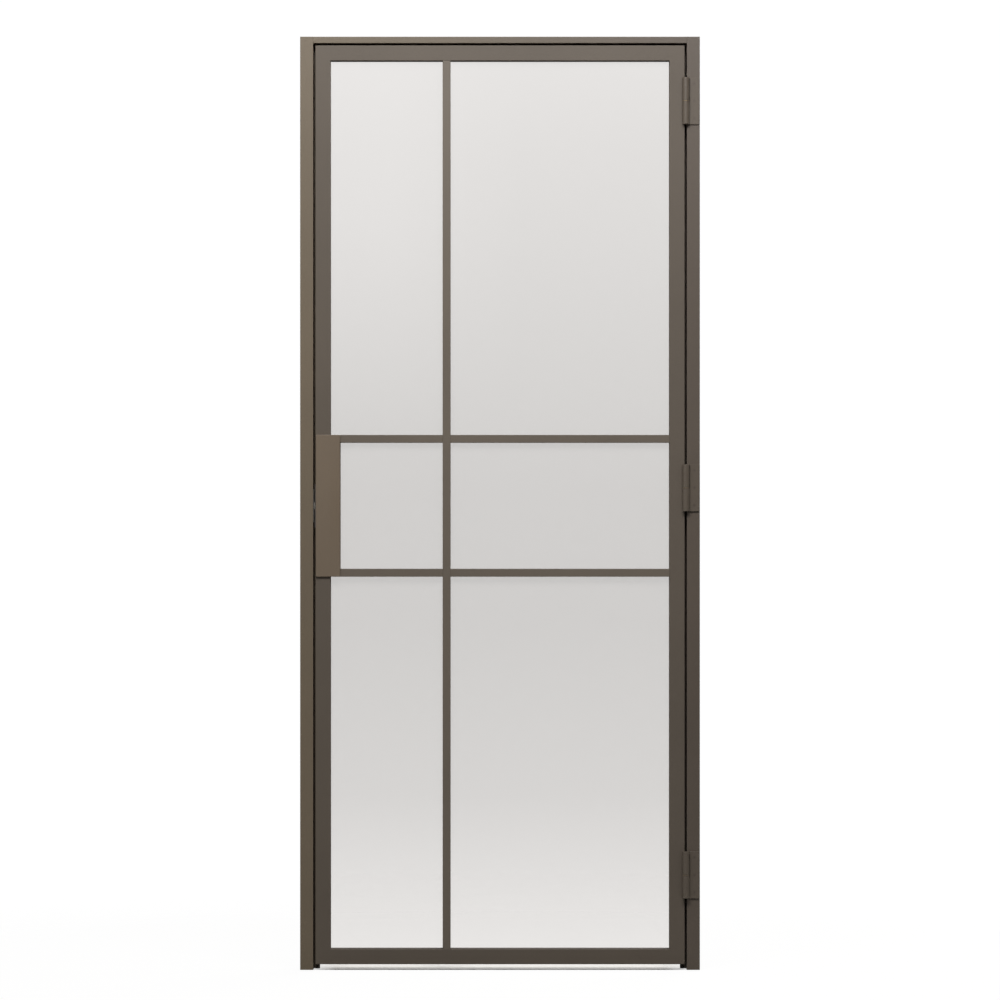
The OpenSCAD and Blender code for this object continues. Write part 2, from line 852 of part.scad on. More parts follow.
module catch_carriage() {
    color(steel_grey) in_catch() difference() {
        union() {
            block(carriage_x, spring_x, guide_w - 2 * slide_gap, carriage_h);
            block(roller_x - fork_nose, carriage_x, fork_t, fork_h);
            translate([spring_x, 0, 0]) rotate([0, 90, 0]) cylinder(r = boss_r, h = boss_l);
        }
        block(roller_x - fork_nose - 1, carriage_x, fork_t + 2, fork_in);
        translate([roller_x, 0, -fork_h]) cylinder(r = axle_r + pin_gap, h = 2 * fork_h);
    }
}

module catch_roller_axle() {
    color(steel_grey) in_catch() translate([roller_x, 0, -fork_h / 2])
        cylinder(r = axle_r, h = fork_h);
}

module catch_roller() {
    color("ivory") in_catch() translate([roller_x, 0, 0]) difference() {
        rotate_extrude() polygon([
            [0, -roller_h / 2], [roller_r - 1, -roller_h / 2], [roller_r, -roller_h / 2 + 1],
            [roller_r, roller_h / 2 - 1], [roller_r - 1, roller_h / 2], [0, roller_h / 2]
        ]);
        translate([0, 0, -roller_h]) cylinder(r = axle_r + pin_gap, h = 2 * roller_h);
    }
}

// Compression spring: a round wire swept along its helix, x from the carriage to the case
function helix(t) = [
    spring_x + spring_wire_r + snug / 2 + t * (spring_room - 2 * spring_wire_r - snug),
    spring_r * cos(360 * spring_turns * t),
    spring_r * sin(360 * spring_turns * t)
];

module catch_spring() {
    steps = 20 * spring_turns;
    sides = 8;
    points = [for (i = [0:steps], j = [0:sides - 1])
        let (t = i / steps, turn = 360 * spring_turns * t, a = 360 * j / sides,
             c = helix(t))
        [
            c[0] + spring_wire_r * cos(a),
            c[1] + spring_wire_r * sin(a) * cos(turn),
            c[2] + spring_wire_r * sin(a) * sin(turn)
        ]];
    sleeve = [for (i = [0:steps - 1], j = [0:sides - 1])
        let (k = (j + 1) % sides)
        [i * sides + j, i * sides + k, (i + 1) * sides + k, (i + 1) * sides + j]];
    caps = [
        [for (j = [sides - 1:-1:0]) j],
        [for (j = [0:sides - 1]) steps * sides + j]
    ];
    color(steel_grey) in_catch() polyhedron(points, concat(sleeve, caps), convexity = 6);
}

module catch_screws() {
    color(steel_grey) in_catch() catch_screw_places() csk_screw(screw_l);
}

hinge_jamb();
lock_jamb();
frame_head();
frame_corner_blocks();
frame_corner_screws();
hinge_jamb_seal();
lock_jamb_seal();
head_seal();
fixing_caps();
strike_plate();
strike_screws();
lower_hinge_frame_half();
middle_hinge_frame_half();
upper_hinge_frame_half();
hinge_pins();
hinge_washers();
frame_hinge_screws();
frame_hinge_backings();
lower_hinge_leaf_half();
middle_hinge_leaf_half();
upper_hinge_leaf_half();
leaf_hinge_screws();
leaf_hinge_backings();
hinge_stile();
lock_stile();
top_rail();
bottom_rail();
leaf_corner_cleats();
upright_bar();
lower_cross_bar_lock_side();
lower_cross_bar_hinge_side();
upper_cross_bar_lock_side();
upper_cross_bar_hinge_side();
bar_spigots();
bar_spigot_screws();
bottom_small_pane();
middle_small_pane();
top_small_pane();
bottom_large_pane();
middle_large_pane();
top_large_pane();
small_pane_gaskets();
large_pane_gaskets();
bottom_small_beads();
middle_small_beads();
top_small_beads();
bottom_large_beads();
middle_large_beads();
top_large_beads();
front_pull_plate();
back_pull_plate();
pull_plate_screws();
pull_plate_sleeves();
catch_case();
catch_carriage();
catch_roller_axle();
catch_roller();
catch_spring();
catch_screws();
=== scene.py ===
"""Looks of a slim-profile glass door in its own frame: finishes, eased pieces, studio and camera.

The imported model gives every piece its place. This script dresses each node with a finish,
stands smoother pieces in for a few of them, and sets the floor, the lights and the camera.
Lengths are metres: +X towards the hinges, +Y from front to back, +Z up, the floor at zero.
"""

from __future__ import annotations

import json  # noqa: E402
import logging  # noqa: E402
import math  # noqa: E402
from dataclasses import dataclass  # noqa: E402
from enum import Enum  # noqa: E402
from functools import cached_property  # noqa: E402
from typing import Iterable, Sequence, Union  # noqa: E402

import bmesh  # noqa: E402
import bpy  # noqa: E402
from mathutils import Matrix, Vector  # noqa: E402

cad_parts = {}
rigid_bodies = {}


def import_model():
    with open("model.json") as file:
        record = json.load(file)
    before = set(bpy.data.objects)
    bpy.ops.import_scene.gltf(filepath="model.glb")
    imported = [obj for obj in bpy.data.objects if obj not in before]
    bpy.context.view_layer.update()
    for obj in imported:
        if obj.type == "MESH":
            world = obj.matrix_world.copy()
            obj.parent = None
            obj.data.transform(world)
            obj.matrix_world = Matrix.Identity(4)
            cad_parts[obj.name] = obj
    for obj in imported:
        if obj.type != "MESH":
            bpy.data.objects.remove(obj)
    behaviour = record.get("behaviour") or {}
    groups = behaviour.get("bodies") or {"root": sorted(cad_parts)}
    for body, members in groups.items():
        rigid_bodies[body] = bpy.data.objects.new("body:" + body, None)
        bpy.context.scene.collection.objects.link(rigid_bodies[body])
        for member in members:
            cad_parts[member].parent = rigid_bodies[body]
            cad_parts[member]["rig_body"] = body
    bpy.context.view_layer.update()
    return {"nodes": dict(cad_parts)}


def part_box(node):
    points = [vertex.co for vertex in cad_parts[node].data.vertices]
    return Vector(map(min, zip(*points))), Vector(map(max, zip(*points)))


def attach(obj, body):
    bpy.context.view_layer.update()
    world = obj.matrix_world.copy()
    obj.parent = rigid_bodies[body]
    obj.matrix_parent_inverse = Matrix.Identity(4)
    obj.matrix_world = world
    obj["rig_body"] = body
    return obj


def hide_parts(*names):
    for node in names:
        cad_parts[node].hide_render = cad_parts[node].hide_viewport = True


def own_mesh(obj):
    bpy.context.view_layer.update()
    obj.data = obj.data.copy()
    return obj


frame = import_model()

LOG = logging.getLogger("glass_door")
MM = 0.001
WELD = 0.002 * MM  # points nearer than this are one
LONG_EDGE = 3.0 * MM  # edges shorter than this aren't long
FLAT = math.radians(0.5)  # faces that meet flatter than this are one
SHARP = math.radians(40.0)  # edges sharper than this may be rounded
CREASE = math.radians(34.0)  # edges sharper than this stay crisp in the shading
WHITE = (1.0, 1.0, 1.0)

Colour = tuple[float, float, float]
Point = tuple[float, float, float]


# ---- Shader building ----


class Wire:
    """A socket of a node tree that can be used in arithmetic."""

    def __init__(self, shader: "Shader", socket: bpy.types.NodeSocket) -> None:
        """Wraps one output socket.

        Args:
            shader: The nodes that the socket belongs to.
            socket: The output socket.
        """
        self.shader = shader
        self.socket = socket

    def _math(self, operation: str, first: "Feed", second: "Feed") -> "Wire":
        """Adds a Math node.

        Args:
            operation: The node's operation.
            first: The first operand.
            second: The second operand.

        Returns:
            The node's result.
        """
        return self.shader.node(
            "ShaderNodeMath", {"operation": operation}, {0: first, 1: second}
        )

    def __add__(self, other: "Feed") -> "Wire":
        """Sum."""
        return self._math("ADD", self, other)

    __radd__ = __add__

    def __mul__(self, other: "Feed") -> "Wire":
        """Product."""
        return self._math("MULTIPLY", self, other)

    __rmul__ = __mul__

    def __sub__(self, other: "Feed") -> "Wire":
        """Difference."""
        return self._math("SUBTRACT", self, other)

    def __rsub__(self, other: "Feed") -> "Wire":
        """Difference from a number."""
        return self._math("SUBTRACT", other, self)


Feed = Union[Wire, float, Sequence[float]]
Owner = Union[bpy.types.Material, bpy.types.World]


class Shader:
    """The nodes of one material or of the surround."""

    def __init__(self, owner: Owner) -> None:
        """Empties the owner's node tree.

        Args:
            owner: What the nodes belong to.
        """
        self.owner = owner
        owner.use_nodes = True
        self.tree = owner.node_tree
        self.tree.nodes.clear()

    @cached_property
    def place(self) -> Wire:
        """The place on the piece, in metres."""
        return self.node("ShaderNodeTexCoord", output="Object")

    def node(
        self,
        kind: str,
        settings: dict | None = None,
        inputs: dict | None = None,
        output: int | str = 0,
    ) -> Wire:
        """Adds a node of any type.

        Args:
            kind: The node's type name.
            settings: Properties set first; "stops" gives a ramp's (position, colour) pairs.
            inputs: Values or links of its sockets, by name or number.
            output: The output to hand back.

        Returns:
            The chosen output, or nothing where the node has none.
        """
        made = self.tree.nodes.new(kind)
        for name, value in (settings or {}).items():
            if name == "stops":
                ramp = made.color_ramp.elements
                while len(ramp) < len(value):
                    ramp.new(1.0)
                for stop, (position, colour) in zip(ramp, value):
                    stop.position, stop.color = position, (*colour, 1.0)
            else:
                setattr(made, name, value)
        for name, value in (inputs or {}).items():
            self.feed(made.inputs[name], value)
        return Wire(self, made.outputs[output]) if made.outputs else None

    def feed(self, socket: bpy.types.NodeSocket, value: Feed) -> None:
        """Links or sets one input socket.

        Args:
            socket: The input.
            value: A wire, a number, a vector or a colour.
        """
        if isinstance(value, Wire):
            self.tree.links.new(value.socket, socket)
        elif hasattr(value, "__len__") and len(value) == 3 and socket.type == "RGBA":
            socket.default_value = (*value, 1.0)
        else:
            socket.default_value = value

    def along(self, axis: str, place: Wire | None = None) -> Wire:
        """The place along one axis, in metres unless another place is given."""
        return self.node("ShaderNodeSeparateXYZ", {}, {0: place or self.place}, axis)

    def stretched(self, scale: Point) -> Wire:
        """The place on the piece, stretched along the axes."""
        return self.node(
            "ShaderNodeVectorMath", {"operation": "MULTIPLY"}, {0: self.place, 1: scale}
        )

    def noise(self, scale: float, detail: float, stretch: Point | None = None) -> Wire:
        """Cloudy noise around 0.5.

        Args:
            scale: Features per metre.
            detail: Octaves of finer noise.
            stretch: Stretch of the axes, for grain.

        Returns:
            The noise value.
        """
        return self.node(
            "ShaderNodeTexNoise",
            {"noise_dimensions": "3D"},
            {
                "Vector": self.stretched(stretch) if stretch else self.place,
                "Scale": scale,
                "Detail": detail,
                "Roughness": 0.55,
            },
        )

    def span(self, value: Feed, low: float, high: float, to_low: float, to_high: float) -> Wire:
        """Maps a value's span to another, clamped.

        Args:
            value: The value.
            low: Its lower end.
            high: Its upper end.
            to_low: What the lower end becomes.
            to_high: What the upper end becomes.

        Returns:
            The mapped value.
        """
        return self.node(
            "ShaderNodeMapRange",
            {"clamp": True},
            {0: value, 1: low, 2: high, 3: to_low, 4: to_high},
        )

    def blend(self, factor: Feed, first: Feed, second: Feed) -> Wire:
        """Mixes two colours.

        Args:
            factor: 0 for the first, 1 for the second.
            first: A colour.
            second: A colour.

        Returns:
            The mixed colour.
        """
        return self.node(
            "ShaderNodeMix",
            {"data_type": "RGBA"},
            {"Factor": factor, 6: first, 7: second},
            2,
        )

    def bump(self, height: Feed, depth: float, strength: float) -> Wire:
        """A bumped normal.

        Args:
            height: The height map.
            depth: Its depth in metres.
            strength: How strongly it shades.

        Returns:
            The normal.
        """
        return self.node(
            "ShaderNodeBump", {}, {"Strength": strength, "Distance": depth, "Height": height}
        )

    def surface(self, inputs: dict) -> Wire:
        """A Principled surface with those socket values."""
        return self.node("ShaderNodeBsdfPrincipled", {}, inputs)

    def mixed(self, factor: Feed, first: Wire, second: Wire) -> Wire:
        """Two shaders mixed; a factor of 0 is the first and 1 the second."""
        return self.node("ShaderNodeMixShader", {}, {0: factor, 1: first, 2: second})

    def finish(self, surface: Wire, output: str = "ShaderNodeOutputMaterial") -> Owner:
        """Ends the nodes on a surface.

        Args:
            surface: The last shader.
            output: Type name of the output node.

        Returns:
            What the nodes belong to.
        """
        self.node(output, {}, {"Surface": surface})
        return self.owner


# ---- Finishes ----


def scaled(colour: Colour, share: float) -> Colour:
    """A colour made lighter or darker by a share."""
    return tuple(part * share for part in colour)


@dataclass(frozen=True)
class Touch:
    """Where hands have smoothed a surface.

    Attributes:
        middle: The middle of the place.
        reach: How far it reaches along each axis.
        smooth: How much smoother it is in its middle.
    """

    middle: Point
    reach: Point
    smooth: float = 0.14


@dataclass(frozen=True)
class PowderCoat:
    """Fine-textured satin powder coat on metal.

    Attributes:
        colour: Its mean colour.
        painted_shade_colour: Its colour at the hinge side, where that differs: painted shade,
            darker there as if the light came from the lock side.
        mottle: How much the tone drifts over the surface.
        fleck: How much the tone differs from grain to grain.
        roughness: Its mean roughness.
        grain: Depth of the fine texture in metres.
        shade_half_width: Distance in metres from the middle to where the painted shade across the
            door holds its end colours.
        touch: Where hands have smoothed it.
        drift_scale: Slow changes of tone per metre.
        peel_scale: Waves of the orange peel per metre.
        speck_scale: Grains of the powder per metre.
    """

    colour: Colour
    painted_shade_colour: Colour | None = None
    mottle: float = 0.05
    fleck: float = 0.10
    roughness: float = 0.44
    grain: float = 0.00012
    shade_half_width: float = 0.44
    touch: Touch | None = None
    drift_scale: float = 3.0
    peel_scale: float = 330.0
    speck_scale: float = 1300.0

    def material(self, name: str) -> bpy.types.Material:
        """Makes the finish.

        Args:
            name: The material's name.

        Returns:
            The material.
        """
        shader = Shader(bpy.data.materials.new(name))
        drift = shader.span(shader.noise(self.drift_scale, 4.0), 0.35, 0.65, 0.0, 1.0)
        speck = shader.noise(self.speck_scale, 2.0)
        peel = shader.noise(self.peel_scale, 2.0)
        grains = shader.span(speck, 0.35, 0.65, 0.0, 1.0)
        colour = self._toned(shader, self.colour, drift, grains)
        # Painted light: the coat goes from its own colour at the lock side to the darker
        # painted_shade_colour at the hinge side, as light from the left would shade it.
        if self.painted_shade_colour:
            far = self._toned(shader, self.painted_shade_colour, drift, grains)
            side = shader.span(
                shader.along("X"), -self.shade_half_width, self.shade_half_width, 0.0, 1.0
            )
            colour = shader.blend(side, colour, far)
        roughness = shader.span(speck, 0.3, 0.7, self.roughness - 0.05, self.roughness + 0.06)
        if self.touch:
            roughness = roughness - self._smoothed(shader)
        surface = shader.surface(
            {
                "Base Color": colour,
                "Roughness": roughness,
                "Specular IOR Level": 0.5,
                "Normal": shader.bump(peel * 0.45 + speck * 0.55, self.grain, 0.7),
            }
        )
        return shader.finish(surface)

    def _toned(self, shader: Shader, colour: Colour, drift: Wire, grains: Wire) -> Wire:
        """A colour that drifts over the surface and differs from grain to grain.

        Args:
            shader: The material's nodes.
            colour: The mean colour.
            drift: Slow drift from 0 to 1.
            grains: Grains from 0 to 1.

        Returns:
            The colour.
        """
        low, high = 1.0 - self.mottle, 1.0 + self.mottle
        dark = shader.blend(
            drift, scaled(colour, low * (1 - self.fleck)), scaled(colour, high * (1 - self.fleck))
        )
        pale = shader.blend(
            drift, scaled(colour, low * (1 + self.fleck)), scaled(colour, high * (1 + self.fleck))
        )
        return shader.blend(grains, dark, pale)

    def _smoothed(self, shader: Shader) -> Wire:
        """How much smoother the touched place is, fading to nothing at its reach.

        Args:
            shader: The material's nodes.

        Returns:
            What to take off the roughness.
        """
        scale = tuple(1.0 / reach for reach in self.touch.reach)
        offset = shader.node(
            "ShaderNodeVectorMath",
            {"operation": "SUBTRACT"},
            {0: shader.stretched(scale), 1: tuple(m * f for m, f in zip(self.touch.middle, scale))},
        )
        away = shader.node("ShaderNodeVectorMath", {"operation": "LENGTH"}, {0: offset}, "Value")
        rubbed = shader.span(away, 0.25, 1.0, self.touch.smooth, 0.0)
        return rubbed * shader.span(shader.noise(40.0, 3.0), 0.3, 0.6, 0.6, 1.0)


@dataclass(frozen=True)
class PaneGlass:
    """Clear glass with a faint neutral grey body, with painted shade and a painted sheen in how
    much of that body shows.

    Attributes:
        tint: What one face lets through.
        body: Colour of the share that doesn't let through.
        heights: Heights in metres at which the body's share is set.
        body_and_shade_shares: The share of the body at those heights: the glass's own faint grey,
            with painted shade that makes the panes darker at mid-height and lighter towards top and
            bottom.
        painted_sheen: Painted sheen: how much lighter the glass is made high up at the lock side.
        sheen_rise: Shares of the height over which that painted sheen comes in.
        sheen_side: Places in metres across the door between which the painted sheen fades out.
        mirror: How much of one face's reflection the pane shows.
        index: Refractive index.
    """

    tint: Colour = (0.985, 0.975, 0.967)
    body: Colour = (0.34, 0.33, 0.32)
    heights: tuple[float, ...] = (0.0, 0.16, 0.40, 0.80, 1.10, 1.45, 1.90, 2.15)
    body_and_shade_shares: tuple[float, ...] = (0.06, 0.11, 0.19, 0.235, 0.235, 0.20, 0.15, 0.11)
    painted_sheen: float = 0.2
    sheen_rise: tuple[float, float] = (0.58, 0.80)
    sheen_side: tuple[float, float] = (-0.25, 0.05)
    mirror: float = 1.6
    index: float = 1.5

    def material(self, name: str) -> bpy.types.Material:
        """Makes the finish.

        Args:
            name: The material's name.

        Returns:
            The material.
        """
        shader = Shader(bpy.data.materials.new(name))
        top = self.heights[-1]
        height = shader.along("Z") * (1.0 / top)
        # The body's share goes by height: the glass's own grey, plus painted shade that darkens the
        # panes at mid-height and lightens them towards top and bottom.
        share = shader.node(
            "ShaderNodeValToRGB",
            {
                "stops": [
                    (z / top, (part, part, part)) for z, part in zip(self.heights, self.body_and_shade_shares)
                ]
            },
            {0: height},
        )
        # Painted sheen: less of the body shows high up at the lock side, so the panes there look
        # lighter.
        rise = shader.span(height, *self.sheen_rise, 0.0, self.painted_sheen)
        share = share * (1.0 - rise * shader.span(shader.along("X"), *self.sheen_side, 1.0, 0.0))
        clear = shader.node("ShaderNodeBsdfTransparent", {}, {"Color": self.tint})
        body = shader.surface(
            {"Base Color": self.body, "Roughness": 0.04, "Specular IOR Level": 0.5}
        )
        gloss = shader.node("ShaderNodeBsdfGlossy", {}, {"Color": WHITE, "Roughness": 0.02})
        # Each ray meets two faces of the pane, and only the first mirrors, for both of them
        inner = shader.node("ShaderNodeNewGeometry", output="Backfacing")
        fresnel = shader.node("ShaderNodeFresnel", {}, {"IOR": self.index})
        mirror = fresnel * (1.0 - inner) * self.mirror
        return shader.finish(shader.mixed(mirror, shader.mixed(share, clear, body), gloss))


@dataclass(frozen=True)
class Rubber:
    """Matte extruded rubber, a little dusty.

    Attributes:
        colour: Its mean colour.
        dust: How much paler it is where dust lies.
        skin: Depth of its fine texture in metres.
    """

    colour: Colour = (0.078, 0.065, 0.053)
    dust: float = 1.5
    skin: float = 0.00005

    def material(self, name: str) -> bpy.types.Material:
        """Makes the finish.

        Args:
            name: The material's name.

        Returns:
            The material.
        """
        shader = Shader(bpy.data.materials.new(name))
        dust = shader.noise(140.0, 5.0)
        fine = shader.noise(1600.0, 2.0)
        return shader.finish(
            shader.surface(
                {
                    "Base Color": shader.blend(
                        shader.span(dust, 0.35, 0.75, 0.0, 1.0),
                        self.colour,
                        scaled(self.colour, self.dust),
                    ),
                    "Roughness": shader.span(dust, 0.3, 0.7, 0.62, 0.82),
                    "Normal": shader.bump(fine, self.skin, 0.5),
                }
            )
        )


class Grain(Enum):
    """How a bare metal was worked, as the stretch of its grain along X, Y and Z."""

    ROLLED = (1.0, 1.0, 0.02)
    BRUSHED = (1.0, 1.0, 0.01)
    PLATED = (1.0, 1.0, 1.0)


@dataclass(frozen=True)
class BareMetal:
    """Metal that shows itself, worked or plated.

    Attributes:
        colour: Its mean colour.
        stain: The colour it drifts to.
        roughness: Its lowest and highest roughness.
        grain: How it was worked.
        grain_depth: Depth of the grain in metres.
    """

    colour: Colour
    stain: Colour
    roughness: tuple[float, float]
    grain: Grain
    grain_depth: float = 0.00002

    def material(self, name: str) -> bpy.types.Material:
        """Makes the finish.

        Args:
            name: The material's name.

        Returns:
            The material.
        """
        shader = Shader(bpy.data.materials.new(name))
        cloud = shader.noise(90.0, 4.0)
        lines = shader.noise(2600.0, 3.0, self.grain.value)
        return shader.finish(
            shader.surface(
                {
                    "Base Color": shader.blend(
                        shader.span(cloud, 0.4, 0.72, 0.0, 1.0), self.colour, self.stain
                    ),
                    "Metallic": 1.0,
                    "Roughness": shader.span(lines, 0.3, 0.7, *self.roughness),
                    "Normal": shader.bump(lines, self.grain_depth, 0.18),
                }
            )
        )


@dataclass(frozen=True)
class Moulded:
    """Moulded plastic with a fine spark-eroded texture.

    Attributes:
        colour: Its mean colour.
        roughness: Its mean roughness.
        texture: Depth of the texture in metres.
        spread: How far tone and roughness stray from their means.
    """

    colour: Colour
    roughness: float
    texture: float = 0.00004
    spread: float = 0.06

    def material(self, name: str) -> bpy.types.Material:
        """Makes the finish.

        Args:
            name: The material's name.

        Returns:
            The material.
        """
        shader = Shader(bpy.data.materials.new(name))
        pits = shader.noise(1400.0, 3.0)
        cloud = shader.noise(120.0, 2.0)
        return shader.finish(
            shader.surface(
                {
                    "Base Color": shader.blend(
                        cloud,
                        scaled(self.colour, 1.0 - self.spread),
                        scaled(self.colour, 1.0 + self.spread),
                    ),
                    "Roughness": shader.span(
                        pits, 0.3, 0.7, self.roughness - self.spread, self.roughness + self.spread
                    ),
                    "Normal": shader.bump(pits, self.texture, 0.5),
                }
            )
        )


class Finish(Enum):
    """Every finish on the door, named as its slot; the bars' paint is in the leaf's slot."""

    # Painted shade: the frame is painted lighter at the lock side and darker at the hinge side, as
    # light from the left would make it.
    frame_paint = PowderCoat((0.172, 0.134, 0.090), painted_shade_colour=(0.112, 0.088, 0.068))
    leaf_paint = PowderCoat((0.117, 0.093, 0.0700), roughness=0.54)
    bar_paint = PowderCoat((0.155, 0.127, 0.098))
    hinge_paint = PowderCoat((0.122, 0.098, 0.075), roughness=0.38)
    # Painted light: the plates' coat is lighter than the leaf's, standing in for the light that the
    # proud plates catch.
    plate_paint = PowderCoat(
        (0.186, 0.141, 0.098), touch=Touch((-0.368, -0.010, 1.07), (0.034, 0.08, 0.16))
    )
    glass = PaneGlass()
    rubber = Rubber()
    cap_plastic = Moulded((0.090, 0.070, 0.052), 0.5)
    roller_nylon = Moulded((0.74, 0.71, 0.64), 0.4)
    brass = BareMetal((0.42, 0.31, 0.16), (0.30, 0.22, 0.12), (0.34, 0.5), Grain.PLATED)
    aluminium = BareMetal((0.72, 0.72, 0.71), (0.62, 0.62, 0.61), (0.36, 0.5), Grain.ROLLED)
    stainless = BareMetal((0.58, 0.56, 0.53), (0.52, 0.50, 0.48), (0.29, 0.37), Grain.BRUSHED)
    zinc_steel = BareMetal((0.62, 0.62, 0.60), (0.56, 0.54, 0.46), (0.3, 0.46), Grain.PLATED)


# ---- Shapes ----


def loft(rings: Sequence[Sequence[Point]]) -> bmesh.types.BMesh:
    """A closed solid over rings of equally many points, with a flat face on each end.

    Args:
        rings: The rings, from one end to the other.

    Returns:
        The solid.
    """
    shape = bmesh.new()
    loops = [[shape.verts.new(point) for point in ring] for ring in rings]
    count = len(loops[0])
    for low, high in zip(loops, loops[1:]):
        for here in range(count):
            after = (here + 1) % count
            shape.faces.new((low[here], low[after], high[after], high[here]))
    shape.faces.new(list(reversed(loops[0])))
    shape.faces.new(loops[-1])
    bmesh.ops.recalc_face_normals(shape, faces=shape.faces)
    return shape


def lathe(profile: Sequence[tuple[float, float]], turns: int = 64) -> bmesh.types.BMesh:
    """A closed solid turned about Z.

    Args:
        profile: Radius and height of each point of a closed outline; a zero radius is the axis.
        turns: Faces round the axis.

    Returns:
        The solid.
    """
    shape = bmesh.new()
    columns = []
    for turn in range(turns):
        angle = 2 * math.pi * turn / turns
        columns.append(
            [
                shape.verts.new((radius * math.cos(angle), radius * math.sin(angle), height))
                for radius, height in profile
            ]
        )
    count = len(profile)
    for turn, column in enumerate(columns):
        beside = columns[(turn + 1) % turns]
        for here in range(count):
            after = (here + 1) % count
            shape.faces.new((column[here], beside[here], beside[after], column[after]))
    bmesh.ops.remove_doubles(shape, verts=shape.verts, dist=WELD)
    bmesh.ops.dissolve_degenerate(shape, edges=shape.edges, dist=WELD)
    bmesh.ops.recalc_face_normals(shape, faces=shape.faces)
    return shape


def tube(path: Sequence[Vector], radius: float, sides: int = 12) -> bmesh.types.BMesh:
    """A round wire along a path.

    Args:
        path: Its centre line.
        radius: Its radius.
        sides: Faces round it.

    Returns:
        The wire, closed at both ends.
    """
    angles = [2 * math.pi * side / sides for side in range(sides)]
    ring = [Vector((radius * math.cos(a), radius * math.sin(a), 0.0)) for a in angles]
    rings = []
    for here, point in enumerate(path):
        ahead = path[min(here + 1, len(path) - 1)] - path[max(here - 1, 0)]
        turn = ahead.to_track_quat("Z", "X")
        rings.append([point + turn @ spoke for spoke in ring])
    return loft(rings)


def loose_boxes(node: str) -> list[tuple[Vector, Vector]]:
    """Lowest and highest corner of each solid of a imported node, in order of height.

    Args:
        node: The node's name.

    Returns:
        The corners.
    """
    shape = bmesh.new()
    shape.from_mesh(frame["nodes"][node].data)
    bmesh.ops.remove_doubles(shape, verts=shape.verts, dist=WELD)
    boxes, seen = [], set()
    for start in shape.verts:
        if start in seen:
            continue
        seen.add(start)
        queue, points = [start], []
        while queue:
            vert = queue.pop()
            points.append(vert.co.copy())
            for edge in vert.link_edges:
                other = edge.other_vert(vert)
                if other not in seen:
                    seen.add(other)
                    queue.append(other)
        low = Vector(min(point[axis] for point in points) for axis in range(3))
        high = Vector(max(point[axis] for point in points) for axis in range(3))
        boxes.append((low, high))
    shape.free()
    return sorted(boxes, key=lambda box: (round(box[0].z, 5), box[0].x))


class Pick(Enum):
    """Which sharp edges of a piece are rounded."""

    ALL = "every outside edge"
    LONG = "long outside edges, so that small holes keep theirs"
    ENDS = "the outline of the lowest and highest face"


def picked(shape: bmesh.types.BMesh, pick: Pick) -> list[bmesh.types.BMEdge]:
    """The edges of a shape that a pick names.

    Args:
        shape: The shape.
        pick: Which of its edges.

    Returns:
        The edges.
    """
    sharp = [
        edge
        for edge in shape.edges
        if edge.is_manifold and edge.is_convex and edge.calc_face_angle(0.0) > SHARP
    ]
    if pick is Pick.LONG:
        return [edge for edge in sharp if edge.calc_length() > LONG_EDGE]
    if pick is Pick.ENDS:
        heights = [vert.co.z for vert in shape.verts]
        return [
            edge
            for edge in sharp
            for end in (min(heights), max(heights))
            if all(abs(vert.co.z - end) < WELD for vert in edge.verts)
        ]
    return sharp


def eased(node: str, width: float, pick: Pick, steps: int = 3) -> bmesh.types.BMesh:
    """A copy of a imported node's shape with sharp edges rounded.

    Args:
        node: The node's name.
        width: How far the rounding reaches from an edge, in metres.
        pick: Which edges are rounded.
        steps: Facets across the rounding.

    Returns:
        The rounded copy.
    """
    shape = bmesh.new()
    shape.from_mesh(frame["nodes"][node].data)
    bmesh.ops.remove_doubles(shape, verts=shape.verts, dist=WELD)
    bmesh.ops.dissolve_limit(shape, angle_limit=FLAT, verts=shape.verts, edges=shape.edges)
    bmesh.ops.bevel(
        shape,
        geom=picked(shape, pick),
        offset=width,
        offset_type="OFFSET",
        segments=steps,
        profile=0.5,
        affect="EDGES",
        clamp_overlap=pick is not Pick.ENDS,
        loop_slide=True,
        miter_outer="SHARP",
        miter_inner="SHARP",
    )
    return shape


